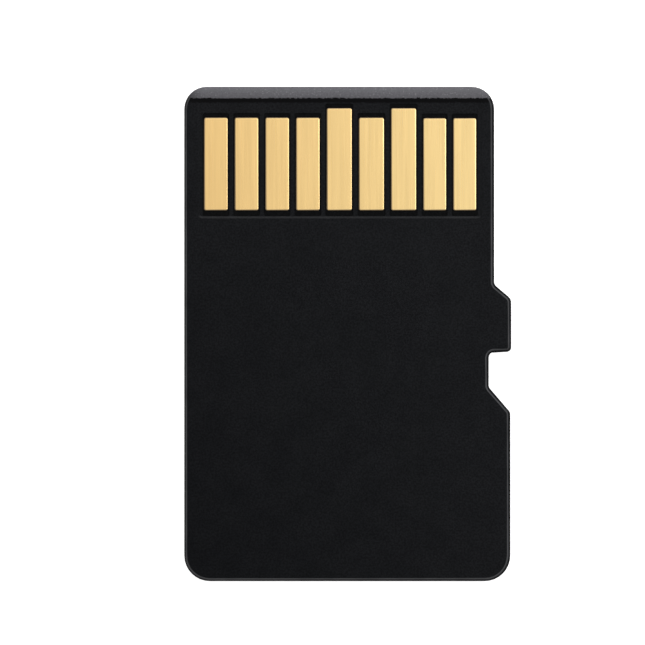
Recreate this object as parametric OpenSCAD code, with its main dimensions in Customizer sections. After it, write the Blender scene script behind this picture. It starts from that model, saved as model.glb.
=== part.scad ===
// Micro memory card, lying with its gold contacts up and its contact end towards +Y.
// The laminate board, its masks and the moulding share one outline, so their sides are flush.
// The chips, bond wires and capacitors are cast into the moulding, on the board's inner side.

/* [Outline] */
// Length from the contact end to the rear end
card_l = 15; // [14.6:0.1:16]
// Width across the grip tab, the widest place
card_w = 9.92; // [9.8:0.02:10.4]
// Width of the contact end, in front of the side ramp
front_w = 9.40; // [9.3:0.02:9.6]
// Width of the rear part, behind the latch notch
rear_w = 9.89; // [9.6:0.01:9.92]
// Contact end to the start of the side ramp
ramp_start = 6.00; // [5.6:0.05:6.2]
// Length of the side ramp along the card
ramp_l = 0.44; // [0.3:0.02:0.6]
// Contact end to the front wall of the latch notch
notch_start = 8.045; // [7.9:0.005:8.4]
// Length of the notch's straight floor
notch_floor_l = 1.07; // [0.9:0.01:1.3]
// Length of the notch's sloped rear side along the card
notch_slope_l = 0.76; // [0.6:0.02:1]
// Depth of the notch below the side of the tab
notch_depth = 0.685; // [0.5:0.005:0.8]
// Radius of the two corners at the contact end
front_corner_r = 0.68; // [0.5:0.02:0.9]
// Radius of the two corners at the rear end
rear_corner_r = 0.78; // [0.5:0.02:1]
// Radius in the root of the side ramp
ramp_root_r = 0.18; // [0.1:0.02:0.3]
// Radius of the tab's front corner
tab_front_r = 0.25; // [0.16:0.01:0.35]
// Radius of the tab's rear corner, at the notch
tab_rear_r = 0.14; // [0.13:0.01:0.25]
// Radius of the two roots of the notch
notch_root_r = 0.17; // [0.1:0.01:0.3]
// Radius where the notch's slope meets the rear side
notch_end_r = 0.20; // [0.14:0.02:0.4]

/* [Thickness and edges] */
// Thickness from the label face to the contact face
body_t = 0.70; // [0.65:0.01:0.8]
// How far the finger lip stands out of the label face
lip_h = 0.30; // [0.2:0.01:0.4]
// Length of the finger lip at the middle of the card
lip_l = 1.50; // [1.2:0.05:2]
// Radius of the lip's curved front side
lip_arc_r = 30; // [25:1:60]
// How far the lip's front side slopes along the card
lip_slope_l = 0.25; // [0.1:0.01:0.4]
// Radius of the rounded edges along both faces
edge_r = 0.12; // [0.06:0.01:0.13]
// Length of the bevel that leads the card into its slot
bevel_l = 0.345; // [0.2:0.005:0.38]
// Depth of that bevel at the contact end
bevel_h = 0.26; // [0.15:0.01:0.3]

/* [Board] */
// Thickness of the black mask around the contacts
mask_t = 0.04; // [0.03:0.002:0.05]
// Thickness of the laminate core
core_t = 0.12; // [0.1:0.01:0.14]
// Thickness of the mask on the inner side
inner_mask_t = 0.02; // [0.016:0.002:0.03]
// Thickness of the copper traces under the inner mask
trace_t = 0.012; // [0.008:0.001:0.015]
// Width of a trace
trace_w = 0.08; // [0.06:0.01:0.1]
// Radius of a copper-filled via
via_r = 0.06; // [0.04:0.01:0.08]
// Radius of the trace's round pad on a via
via_pad_r = 0.12; // [0.1:0.01:0.15]
// Rear end of a contact to its via
via_setback = 0.28; // [0.2:0.02:0.5]

/* [Contacts] */
// Left side of the card to the first contact
contact_margin = 0.60; // [0.5:0.01:0.62]
// Space between two contacts
contact_gap = 0.21; // [0.19:0.01:0.22]
// Width of a signal contact
signal_w = 0.72; // [0.66:0.01:0.73]
// Width of a supply contact and of the one between them
supply_w = 0.765; // [0.7:0.005:0.78]
// Width of the last two contacts
last_w = 0.70; // [0.65:0.01:0.72]
// Contact end to the front of a signal contact
signal_front = 0.94; // [0.85:0.01:1]
// Contact end to the front of the last two contacts
last_front = 0.955; // [0.85:0.005:1]
// Contact end to the front of a supply contact
supply_front = 0.653; // [0.6:0.001:0.75]
// Contact end to the rear of every contact
contact_rear = 3.755; // [3.5:0.005:3.8]
// Thickness of a contact
contact_t = 0.030; // [0.02:0.002:0.034]
// Radius of a contact's corners
contact_corner_r = 0.055; // [0.052:0.001:0.07]
// Width of the rounded shoulder around a contact's face
shoulder_w = 0.050; // [0.03:0.002:0.05]
// Depth of that shoulder
shoulder_h = 0.022; // [0.01:0.002:0.024]
// Bare strip beside a contact in its window
window_side = 0.042; // [0.036:0.002:0.06]
// Bare strip in front of a contact
window_front = 0.140; // [0.1:0.01:0.15]
// Bare strip behind a contact
window_rear = 0.170; // [0.15:0.01:0.17]
// Radius of a window's corners
window_corner_r = 0.060; // [0.04:0.01:0.08]
// How far the mask is lower in the field around the contacts
field_drop = 0.016; // [0.01:0.002:0.018]
// Width of the slope along the field's sides
field_slope_w = 0.060; // [0.03:0.005:0.06]
// Outermost contacts to the sides of the field
field_side = 0.130; // [0.1:0.01:0.2]
// Supply contacts to the front of the field
field_front = 0.190; // [0.16:0.01:0.2]
// Contacts to the rear of the field
field_rear = 0.180; // [0.175:0.005:0.3]
// Radius of the field's corners
field_corner_r = 0.080; // [0.06:0.01:0.12]

/* [Chips] */
// Width of the memory chips
memory_w = 7.60; // [6:0.1:7.8]
// Length of the memory chips
memory_l = 5.20; // [4:0.1:5.4]
// Thickness of a memory chip
memory_t = 0.050; // [0.03:0.005:0.055]
// Thickness of the adhesive film under a chip
film_t = 0.015; // [0.01:0.001:0.02]
// Contact end to the front of the first memory chip
memory_front = 7.70; // [7.5:0.05:8]
// Left side of the card to the memory chips
memory_margin = 0.80; // [0.6:0.05:1]
// How far each memory chip is set back from the one under it
shingle = 0.22; // [0.18:0.01:0.25]
// Width of the controller chip
controller_w = 2.60; // [2.4:0.1:3]
// Length of the controller chip
controller_l = 1.80; // [1.4:0.1:1.9]
// Thickness of the controller chip
controller_t = 0.100; // [0.08:0.01:0.15]
// Contact end to the front of the controller chip
controller_front = 4.75; // [4.7:0.05:4.9]

/* [Bond wires] */
// Thickness of a bond wire
wire_d = 0.025; // [0.018:0.001:0.03]
// Edge of a chip to the middle of its bond fingers
wire_reach = 0.35; // [0.25:0.01:0.36]
// Edge of a chip to the place where a wire lands on it
wire_landing = 0.09; // [0.06:0.01:0.1]
// How far a wire's loop rises over the higher of its two ends
wire_rise = 0.06; // [0.04:0.01:0.08]
// Distance from one bond finger to the next
finger_pitch = 0.26; // [0.2:0.01:0.27]
// Width of a bond finger
finger_w = 0.12; // [0.1:0.01:0.14]
// Length of a bond finger
finger_l = 0.20; // [0.14:0.01:0.22]

/* [Capacitors] */
// Length of a capacitor over both terminals
capacitor_l = 0.60; // [0.5:0.02:0.7]
// Width and height of a capacitor's terminals
capacitor_t = 0.30; // [0.24:0.01:0.32]
// Length of one terminal
terminal_l = 0.15; // [0.1:0.01:0.18]
// How far a terminal stands out of the ceramic, all round
terminal_lap = 0.010; // [0.006:0.002:0.02]
// Left side of the card to the middle of the left capacitors
capacitor_left = 1.90; // [1.6:0.1:2.2]
// Left side of the card to the middle of the right capacitor
capacitor_right = 7.60; // [7.2:0.1:8]
// Contact end to the middle of the front capacitors
capacitor_front = 5.10; // [4.9:0.05:5.3]
// Distance from the front capacitors to the rear one
capacitor_step = 1.10; // [0.9:0.05:1.2]

/* [Hidden] */
$fn = 96;
contact_count = 9;
first_wide = 5;
last_wide = 7;
first_short = 8;
memory_count = 4;
memory_wire_count = 8;
large_r = 0.4;
large_steps = 8;
small_steps = 4;
edge_steps = 4;
wire_steps = 8;
shoulder_steps = 3;
// How far a cutting shape reaches past what it cuts
over = 0.1;
// Least distance between two levels of an edge
level_gap = 0.003;
// What a corner's radius keeps over the rounding of its edge
radius_spare = 0.01;

top_z = lip_h + body_t;
mask_z = top_z - mask_t;
core_z = mask_z - core_t;
mould_z = core_z - inner_mask_t;
edge_round = min(edge_r, tab_rear_r - radius_spare);
notch_floor_x = card_w - notch_depth;
ramp_end = ramp_start + ramp_l;
slope_start = notch_start + notch_floor_l;
slope_end = slope_start + notch_slope_l;
capacitor_rear = capacitor_front + capacitor_step;
contact_numbers = [1 : contact_count];
field_mid = (contact_x(1) + contact_x(contact_count) + contact_w(contact_count)) / 2;
via_y = contact_rear - via_setback;
controller_x = field_mid - controller_w / 2;
controller_face = mould_z - film_t - controller_t;
controller_rear = controller_front + controller_l;
contact_finger_y = controller_front - wire_reach;
controller_finger_y = controller_rear + wire_reach;
memory_finger_y = memory_front - wire_reach;
capacitor_places = [
    [capacitor_left, capacitor_front],
    [capacitor_right, capacitor_front],
    [capacitor_left, capacitor_rear]
];

// Corners of the card, counter-clockwise from the rear left, each with its radius.
// Distances from the contact end run along -Y.
card_corners = [
    [0, -card_l, rear_corner_r],
    [rear_w, -card_l, rear_corner_r],
    [rear_w, -slope_end, notch_end_r],
    [notch_floor_x, -slope_start, notch_root_r],
    [notch_floor_x, -notch_start, notch_root_r],
    [card_w, -notch_start, tab_rear_r],
    [card_w, -ramp_end, tab_front_r],
    [front_w, -ramp_start, ramp_root_r],
    [front_w, 0, front_corner_r],
    [0, 0, front_corner_r]
];
// A point beside the chips from which the whole outline can be seen
card_hub = [memory_margin / 2, -notch_start - notch_floor_l / 2];

// Outlines with round corners, and solids lofted between their insets
function flat(p) = [p[0], p[1]];
function unit(a) = a / norm(a);
function left_of(a) = [-a[1], a[0]];
function turned(a, deg) = [a[0] * cos(deg) - a[1] * sin(deg), a[0] * sin(deg) + a[1] * cos(deg)];
function turn_between(u, v) = atan2(u[0] * v[1] - u[1] * v[0], u * v);
function steps_for(r) = r > large_r ? large_steps : small_steps;

function corner_arc(a, b, c, r, inset) =
    let(
        u = unit(b - a),
        v = unit(c - b),
        turn = turn_between(u, v),
        tip = b + (left_of(u) + left_of(v)) * inset / (1 + left_of(u) * left_of(v)),
        arc_r = r - sign(turn) * inset,
        spoke = left_of(u) * arc_r * sign(turn),
        centre = tip - u * arc_r * tan(abs(turn) / 2) + spoke,
        steps = steps_for(r)
    )
    [for (k = [0 : steps]) centre - turned(spoke, turn * k / steps)];

function ring(corners, inset) =
    let(n = len(corners))
    [for (i = [0 : n - 1]) each corner_arc(
        flat(corners[(i + n - 1) % n]), flat(corners[i]), flat(corners[(i + 1) % n]),
        corners[i][2], inset)];

// levels lists [height, inset] from the bottom up
module loft(corners, hub, levels) {
    rings = [for (level = levels) ring(corners, level[1])];
    n = len(rings[0]);
    top = len(levels) - 1;
    bottom_hub = n * len(levels);
    points = concat(
        [for (j = [0 : top]) each [for (p = rings[j]) [p[0], p[1], levels[j][0]]]],
        [[hub[0], hub[1], levels[0][0]], [hub[0], hub[1], levels[top][0]]]
    );
    walls = [for (j = [0 : top - 1], i = [0 : n - 1])
        [j * n + i, (j + 1) * n + i, (j + 1) * n + (i + 1) % n, j * n + (i + 1) % n]];
    bottom = [for (i = [0 : n - 1]) [bottom_hub, i, (i + 1) % n]];
    lid = [for (i = [0 : n - 1]) [bottom_hub + 1, top * n + (i + 1) % n, top * n + i]];
    polyhedron(points, concat(walls, bottom, lid));
}

// The card's rounded edges, from floor_z up to the contact face
function edge_rise(k) = edge_round * (1 - cos(90 * k / edge_steps));
function round_inset(depth) = edge_round - sqrt(max(0, edge_round * edge_round - depth * depth));
function edge_inset(z, floor_z) =
    round_inset(max(0, z - (top_z - edge_round), floor_z + edge_round - z));
function edge_knots(floor_z) = concat(
    [for (k = [0 : edge_steps]) floor_z + edge_rise(k)],
    [for (k = [edge_steps : -1 : 0]) top_z - edge_rise(k)]
);
function slab_heights(low, high, floor_z) = concat(
    [low],
    [for (z = edge_knots(floor_z)) if (z > low + level_gap && z < high - level_gap) z],
    [high]
);

module placed() {
    translate([-card_w / 2, card_l / 2, 0]) children();
}

// A straight-sided layer of the card between two heights
module card_prism(low, high) {
    translate([0, 0, low]) linear_extrude(high - low) polygon(ring(card_corners, 0));
}

// A layer with rounded edges between two heights, where floor_z is the height of the card's underside
module card_slab(low, high, floor_z) {
    loft(card_corners, card_hub,
        [for (z = slab_heights(low, high, floor_z)) [z, edge_inset(z, floor_z)]]);
}

// What the lead-in bevel takes off the contact end
module front_bevel() {
    slope = bevel_h / bevel_l;
    translate([-over, 0, 0])
        rotate([90, 0, 90])
            linear_extrude(front_w + 2 * over)
                polygon([
                    [-bevel_l - over, top_z + over * slope],
                    [over, top_z - bevel_h - over * slope],
                    [over, top_z + over * slope]
                ]);
}

// What lies in front of the finger lip, with the lip's sloped and curved front side
module lip_clearance() {
    slope = lip_slope_l / lip_h;
    translate([card_w / 2, lip_l + lip_arc_r - card_l, 0]) {
        translate([0, 0, -over])
            cylinder(h = lip_h + over, r1 = lip_arc_r + slope * (lip_h + over), r2 = lip_arc_r);
        translate([0, 0, lip_h]) cylinder(h = body_t, r = lip_arc_r);
    }
}

// Contacts, counted from the left side
function is_wide(i) = i >= first_wide && i <= last_wide;
function is_supply(i) = i == first_wide || i == last_wide;
function contact_w(i) = is_wide(i) ? supply_w : i >= first_short ? last_w : signal_w;
function contact_x(i) = i == 1 ? contact_margin : contact_x(i - 1) + contact_w(i - 1) + contact_gap;
function contact_front(i) = is_supply(i) ? supply_front : i >= first_short ? last_front : signal_front;
function contact_mid(i) = contact_x(i) + contact_w(i) / 2;

// A box from x, y in from the left side and the contact end
module block(x, y, z, size) {
    translate([x, -y - size[1], z]) cube(size);
}

// Four round corners between two sides and between two distances from the contact end
function pad_corners(left, right, front, rear, r) =
    [[left, -rear, r], [right, -rear, r], [right, -front, r], [left, -front, r]];
function contact_corners(i) =
    pad_corners(contact_x(i), contact_x(i) + contact_w(i), contact_front(i), contact_rear, contact_corner_r);
function pad_hub(corners) = (flat(corners[0]) + flat(corners[2])) / 2;

module contact(i) {
    face_z = mask_z + contact_t;
    corners = contact_corners(i);
    shoulder = [
        for (k = [0 : shoulder_steps])
            let(a = 90 * k / shoulder_steps)
            [face_z - shoulder_h * (1 - sin(a)), shoulder_w * (1 - cos(a))]
    ];
    color("#eccb8c")
        placed()
            loft(corners, pad_hub(corners), concat([[mask_z, 0]], shoulder));
}

// The opening in the mask around contact i
module contact_window(i) {
    corners = pad_corners(
        contact_x(i) - window_side, contact_x(i) + contact_w(i) + window_side,
        contact_front(i) - window_front, contact_rear + window_rear, window_corner_r);
    translate([0, 0, mask_z - over]) linear_extrude(mask_t + 2 * over) polygon(ring(corners, 0));
}

// The shallow field around all contacts, with its sloped sides
module contact_field() {
    field_end = contact_x(contact_count) + contact_w(contact_count);
    corners = pad_corners(
        contact_margin - field_side, field_end + field_side,
        supply_front - field_front, contact_rear + field_rear, field_corner_r);
    slope = field_slope_w / field_drop;
    loft(corners, pad_hub(corners),
        [[top_z - field_drop, 0], [top_z + over, -slope * (field_drop + over)]]);
}

module contact_mask() {
    color("#1c1d20")
        placed()
            difference() {
                card_slab(mask_z, top_z, 0);
                front_bevel();
                contact_field();
                for (i = contact_numbers) contact_window(i);
            }
}

module contact_vias() {
    color("#b87a4a")
        placed()
            for (i = contact_numbers)
                translate([contact_mid(i), -via_y, core_z]) cylinder(h = core_t, r = via_r);
}

module board_core() {
    color("#15161a")
        difference() {
            placed()
                difference() {
                    card_slab(core_z, mask_z, 0);
                    front_bevel();
                }
            contact_vias();
        }
}

// Bond fingers, one row of count fingers centred on the contacts
function finger_x(k, count) = field_mid + (k - (count + 1) / 2) * finger_pitch;

module finger(k, count, y) {
    block(finger_x(k, count) - finger_w / 2, y - finger_l / 2, mould_z, [finger_w, finger_l, inner_mask_t]);
}

// A straight trace under the inner mask, between the points [x, y]
module trace(from, to) {
    half = trace_w / 2;
    translate([0, 0, core_z - trace_t])
        linear_extrude(trace_t)
            polygon([
                [from[0] - half, -from[1]],
                [to[0] - half, -to[1]],
                [to[0] + half, -to[1]],
                [from[0] + half, -from[1]]
            ]);
}

module contact_trace(i) {
    trace([contact_mid(i), via_y], [finger_x(i, contact_count), contact_finger_y]);
    translate([contact_mid(i), -via_y, core_z - trace_t]) cylinder(h = trace_t, r = via_pad_r);
    finger(i, contact_count, contact_finger_y);
}

module memory_trace(k) {
    x = finger_x(k, memory_wire_count);
    trace([x, controller_finger_y], [x, memory_finger_y]);
    finger(k, memory_wire_count, controller_finger_y);
    finger(k, memory_wire_count, memory_finger_y);
}

// The two ends of a capacitor at place, from its outer end to its ceramic
module capacitor_end_blocks(place, z, height) {
    for (x = [-capacitor_l / 2, capacitor_l / 2 - terminal_l])
        block(place[0] + x, place[1] - capacitor_t / 2, z, [terminal_l, capacitor_t, height]);
}

module inner_traces() {
    color("#c58a52")
        placed() {
            for (i = contact_numbers) contact_trace(i);
            for (k = [1 : memory_wire_count]) memory_trace(k);
            for (place = capacitor_places) capacitor_end_blocks(place, mould_z, inner_mask_t);
        }
}

module inner_mask() {
    color("#20352b")
        difference() {
            placed()
                difference() {
                    card_prism(mould_z, core_z);
                    front_bevel();
                }
            inner_traces();
        }
}

module controller_chip() {
    color("#3b3f48")
        placed()
            block(controller_x, controller_front, controller_face, [controller_w, controller_l, controller_t]);
}

module controller_film() {
    color("#c9b98f")
        placed()
            block(controller_x, controller_front, mould_z - film_t, [controller_w, controller_l, film_t]);
}

// Memory chips, counted from the board, each with its film towards the board
function memory_y(k) = memory_front + (k - 1) * shingle;
function memory_face(k) = mould_z - k * (film_t + memory_t);

module memory_chip(k) {
    color("#474b55")
        placed()
            block(memory_margin, memory_y(k), memory_face(k), [memory_w, memory_l, memory_t]);
}

module memory_film(k) {
    color("#c9b98f")
        placed()
            block(memory_margin, memory_y(k), memory_face(k) + memory_t, [memory_w, memory_l, film_t]);
}

// A bond wire's path in the plane of its loop, as [distance from the contact end, height]
function wire_hop(from, to) =
    let(
        low = min(from[1], to[1]) - wire_rise,
        mid = (from[0] + to[0]) / 2,
        half = (to[0] - from[0]) / 2
    )
    concat(
        [from],
        [for (k = [0 : wire_steps])
            let(a = 180 * k / wire_steps, foot = a < 90 ? from[1] : to[1])
            [mid - half * cos(a), foot - wire_d - (foot - wire_d - low) * sin(a)]],
        [to]
    );

function wire_side(path, side) =
    let(last = len(path) - 1)
    [for (k = [0 : last])
        path[k] + side * wire_d / 2 * left_of(unit(path[min(k + 1, last)] - path[max(k - 1, 0)]))];

// A wire at x, bent along path, lying in the plane across the card's width
module wire(x, path) {
    far = wire_side(path, -1);
    translate([x - wire_d / 2, 0, 0])
        rotate([90, 0, 90])
            linear_extrude(wire_d)
                polygon([
                    for (p = wire_side(path, 1)) [-p[0], p[1]],
                    for (k = [len(far) - 1 : -1 : 0]) [-far[k][0], far[k][1]]
                ]);
}

module controller_wires() {
    front_landing = [controller_front + wire_landing, controller_face];
    rear_landing = [controller_rear - wire_landing, controller_face];
    color("#e2c067")
        placed() {
            for (i = contact_numbers)
                wire(finger_x(i, contact_count), wire_hop([contact_finger_y, mould_z], front_landing));
            for (k = [1 : memory_wire_count])
                wire(finger_x(k, memory_wire_count), wire_hop(rear_landing, [controller_finger_y, mould_z]));
        }
}

// The wires step from the board to the first memory chip, and from each chip to the next
module memory_wires() {
    stops = concat(
        [[memory_finger_y, mould_z]],
        [for (k = [1 : memory_count]) [memory_y(k) + wire_landing, memory_face(k)]]
    );
    color("#e2c067")
        placed()
            for (k = [1 : memory_wire_count], j = [1 : memory_count])
                wire(finger_x(k, memory_wire_count), wire_hop(stops[j - 1], stops[j]));
}

module capacitor(k) {
    place = capacitor_places[k - 1];
    length = capacitor_l - 2 * terminal_l;
    width = capacitor_t - 2 * terminal_lap;
    color("#b9a184")
        placed()
            block(place[0] - length / 2, place[1] - width / 2, mould_z - capacitor_t + terminal_lap,
                [length, width, width]);
}

module capacitor_terminals() {
    color("#c8cacc")
        placed()
            for (place = capacitor_places) capacitor_end_blocks(place, mould_z - capacitor_t, capacitor_t);
}

// All that is cast into the moulding
module cast_in_pieces() {
    controller_film();
    controller_chip();
    controller_wires();
    for (k = [1 : memory_count]) {
        memory_film(k);
        memory_chip(k);
    }
    memory_wires();
    for (k = [1 : len(capacitor_places)]) capacitor(k);
    capacitor_terminals();
}

// The moulding, from the finger lip and the rounded label face up to the board
module moulded_body() {
    round_z = lip_h + edge_round;
    color("#18191b")
        difference() {
            union() {
                difference() {
                    placed() card_prism(round_z, mould_z);
                    cast_in_pieces();
                }
                placed() {
                    card_slab(lip_h, round_z, lip_h);
                    difference() {
                        card_slab(0, round_z, 0);
                        lip_clearance();
                    }
                }
            }
            placed() front_bevel();
        }
}

moulded_body();
board_core();
contact_mask();
inner_mask();
contact_vias();
inner_traces();
for (i = contact_numbers) contact(i);
controller_chip();
controller_film();
controller_wires();
memory_wires();
for (k = [1 : memory_count]) memory_chip(k);
for (k = [1 : memory_count]) memory_film(k);
for (k = [1 : len(capacitor_places)]) capacitor(k);
capacitor_terminals();
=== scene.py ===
"""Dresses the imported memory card: its black masks and moulding, its gold contacts and what is cast in."""

import math

import bmesh
import bpy
from bpy.props import FloatProperty, FloatVectorProperty, PointerProperty
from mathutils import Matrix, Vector


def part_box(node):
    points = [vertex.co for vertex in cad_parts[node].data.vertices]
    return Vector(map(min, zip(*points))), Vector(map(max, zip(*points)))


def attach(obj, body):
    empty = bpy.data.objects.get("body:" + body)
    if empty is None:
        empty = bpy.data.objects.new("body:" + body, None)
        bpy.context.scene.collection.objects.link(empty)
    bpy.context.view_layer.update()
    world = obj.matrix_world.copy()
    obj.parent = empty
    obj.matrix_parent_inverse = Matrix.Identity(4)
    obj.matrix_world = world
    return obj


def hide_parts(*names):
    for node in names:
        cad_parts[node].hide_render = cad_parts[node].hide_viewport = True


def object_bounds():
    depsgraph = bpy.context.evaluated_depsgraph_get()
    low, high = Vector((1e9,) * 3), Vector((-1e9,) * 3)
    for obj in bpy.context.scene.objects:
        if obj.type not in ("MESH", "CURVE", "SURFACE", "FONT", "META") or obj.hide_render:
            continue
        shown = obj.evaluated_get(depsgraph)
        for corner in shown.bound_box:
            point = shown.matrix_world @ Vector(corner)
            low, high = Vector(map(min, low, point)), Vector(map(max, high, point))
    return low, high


bl_info = {
    "name": "Memory Card Dresser",
    "version": (1, 0, 0),
    "blender": (4, 5, 0),
    "location": "View3D > Sidebar > Card",
    "description": "Gives a packed memory card its finishes, bond wires, lamps and camera",
    "category": "Object",
}

MM = 0.001
CONTACTS = [f"contact_{i}" for i in range(1, 10)]
MEMORY_CHIPS = [f"memory_chip_{k}" for k in range(1, 5)]
MEMORY_FILMS = [f"memory_film_{k}" for k in range(1, 5)]
CAPACITORS = [f"capacitor_{k}" for k in range(1, 4)]

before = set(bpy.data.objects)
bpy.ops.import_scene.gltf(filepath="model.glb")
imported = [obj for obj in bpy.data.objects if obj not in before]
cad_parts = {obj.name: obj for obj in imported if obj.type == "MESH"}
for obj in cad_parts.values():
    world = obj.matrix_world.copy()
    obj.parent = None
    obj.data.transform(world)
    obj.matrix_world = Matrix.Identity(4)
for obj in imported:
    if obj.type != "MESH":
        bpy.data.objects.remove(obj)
CARD_LOW, CARD_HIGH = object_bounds()


# Properties

def colour(name, description, value):
    return FloatVectorProperty(
        name=name, description=description, default=value, subtype="COLOR", size=3, min=0, max=1)


def length(name, description, value_mm):
    return FloatProperty(
        name=name, description=description, default=value_mm * MM, min=0, unit="LENGTH",
        subtype="DISTANCE", precision=6)


def share(name, description, value):
    return FloatProperty(
        name=name, description=description, default=value, min=0, max=1, subtype="FACTOR")


def power(name, description, watts):
    return FloatProperty(name=name, description=description, default=watts, min=0, unit="POWER")


class BlackFinish(bpy.types.PropertyGroup):
    """Colours and grain of the masks, the laminate and the moulding."""
    mask: colour("Mask", "Contact-side mask", (0.0062, 0.0067, 0.0077))
    # The lighter mask colour serves both the mottle and painted light towards the front right.
    mask_mottle_and_lit: colour("Mask, lighter", "Mask where its mottle is lighter and where painted light falls", (0.0114, 0.0120, 0.0134))
    moulding: colour("Moulding", "Epoxy moulding", (0.0074, 0.0078, 0.0086))
    laminate: colour("Laminate", "Laminate core", (0.0038, 0.0040, 0.0043))
    # The cut face's grey is painted light that the bevel's facet catches from the front.
    cut: colour("Cut face", "Bare face of the lead-in bevel", (0.130, 0.128, 0.140))
    # The rim colour is a painted highlight along the card's rounded rims.
    rim: colour("Rim", "Painted highlight on the rims of the card", (0.074, 0.075, 0.079))
    grain: length("Grain", "Size of the matte grain", 0.055)


class GoldFinish(bpy.types.PropertyGroup):
    """Colours and brushing of the plated contacts."""
    # The right tint is lighter than the left by painted light.
    left: colour("Left tint", "Plating at the first contact", (0.785, 0.532, 0.221))
    right: colour("Right tint", "Plating at the last contact", (0.868, 0.640, 0.289))
    # The flank colour is painted shade down the contacts' sloping sides.
    flank_shade: colour("Flank", "Plating down the sides, with painted shade", (0.22, 0.16, 0.09))
    brush: length("Brushing", "Width of a brush line", 0.020)
    roughness: share("Roughness", "Roughness of the plating", 0.30)


class WireSizes(bpy.types.PropertyGroup):
    """Sizes of the bond wires."""
    thickness: length("Thickness", "Diameter of a bond wire", 0.025)
    ball: length("Ball", "Diameter of the ball at a wire's end", 0.050)
    reach: length("Reach", "Edge of a chip to its bond fingers", 0.35)
    landing: length("Landing", "Edge of a chip to a wire on it", 0.09)
    rise: length("Rise", "How far a loop rises over its ends", 0.06)
    pitch: length("Pitch", "Distance from one wire to the next", 0.26)


class StageSettings(bpy.types.PropertyGroup):
    """Floor, lamps and camera."""
    lens: FloatProperty(
        name="Lens", description="Focal length", default=800, min=20, subtype="DISTANCE_CAMERA")
    field: length("Field", "Width of the view at the middle of the board", 19.562)
    field_depth: length("Field depth", "Contact face to where the view's width is measured", 0.10)
    aim: FloatVectorProperty(
        name="Aim", description="Where the camera points, across and along the card",
        default=(-0.7665 * MM, 0.347 * MM), size=2, unit="LENGTH", subtype="TRANSLATION")
    side: power("Side lamp", "Power of the side lamp", 0.060)
    key: power("Key lamp", "Power of the key lamp", 0.040)
    front: power("Front lamp", "Power of the low front lamp", 0.03)
    fill: power("Fill lamp", "Power of the fill lamp", 0.02)
    sky: share("Sky", "Strength of the soft light from all round", 0.35)


SETTINGS = {
    "card_black": BlackFinish,
    "card_gold": GoldFinish,
    "card_wires": WireSizes,
    "card_stage": StageSettings,
}


# Node helpers

def node(tree, kind, **inputs):
    """A node with its input sockets set or linked by name."""
    made = tree.nodes.new(kind)
    for name, value in inputs.items():
        connect(tree, made, name.replace("_", " "), value)
    return made


def connect(tree, target, name, value):
    """Links an output to a socket or sets the socket; a number for the name picks it by place."""
    socket = target.inputs[name]
    if isinstance(value, bpy.types.NodeSocket):
        tree.links.new(value, socket)
    else:
        socket.default_value = value


def maths(tree, operation, *values, clamp=False):
    """A number worked out from others."""
    made = tree.nodes.new("ShaderNodeMath")
    made.operation = operation
    made.use_clamp = clamp
    for place, value in enumerate(values):
        connect(tree, made, place, value)
    return made.outputs[0]


def ranged(tree, value, low, high, to_low=0.0, to_high=1.0, smooth=True):
    """A value's place between low and high, turned into one between to_low and to_high."""
    made = tree.nodes.new("ShaderNodeMapRange")
    made.interpolation_type = "SMOOTHSTEP" if smooth else "LINEAR"
    names = ("Value", "From Min", "From Max", "To Min", "To Max")
    for name, given in zip(names, (value, low, high, to_low, to_high)):
        connect(tree, made, name, given)
    return made.outputs["Result"]


def mixed(tree, factor, a, b):
    """A colour mixed from a to b; the node's sockets 6 and 7 take them, and its output 2 gives it."""
    made = tree.nodes.new("ShaderNodeMix")
    made.data_type = "RGBA"
    for place, value in ((0, factor), (6, a), (7, b)):
        if isinstance(value, (tuple, list)) or hasattr(value, "r"):
            value = (*value[:3], 1)
        connect(tree, made, place, value)
    return made.outputs[2]


def shaded(tree, tint, level):
    """A colour made lighter or darker by a level."""
    made = tree.nodes.new("ShaderNodeVectorMath")
    made.operation = "SCALE"
    connect(tree, made, 0, tint)
    connect(tree, made, "Scale", level)
    return made.outputs[0]


def scaled(tree, vector, size):
    """Coordinates in units of size; size may be three numbers."""
    made = tree.nodes.new("ShaderNodeVectorMath")
    made.operation = "DIVIDE"
    connect(tree, made, 0, vector)
    connect(tree, made, 1, size)
    return made.outputs[0]


def noise(tree, vector, detail=2.0, roughness=0.5):
    """Noise with lumps about one unit of the coordinates wide."""
    made = node(tree, "ShaderNodeTexNoise", Vector=vector, Scale=1.0, Detail=detail, Roughness=roughness)
    return made.outputs["Fac"]


NUMBER, VECTOR = "NodeSocketFloat", "NodeSocketVector"


def shader_group(name, inputs, outputs):
    """An empty shader group; inputs lists (name, type, default), and outputs are names of numbers."""
    group = bpy.data.node_groups.new(name, "ShaderNodeTree")
    for label, kind, default in inputs:
        socket = group.interface.new_socket(name=label, in_out="INPUT", socket_type=kind)
        if default is not None:
            socket.default_value = default
    for label in outputs:
        group.interface.new_socket(name=label, in_out="OUTPUT", socket_type=NUMBER)
    return group, group.nodes.new("NodeGroupInput").outputs, group.nodes.new("NodeGroupOutput").inputs


def place_group(tree, group, **inputs):
    """A shader group placed in a material, with its inputs set or linked by name."""
    made = tree.nodes.new("ShaderNodeGroup")
    made.node_tree = group
    for name, value in inputs.items():
        connect(tree, made, name.replace("_", " "), value)
    return made.outputs


# Shared effects

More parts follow.
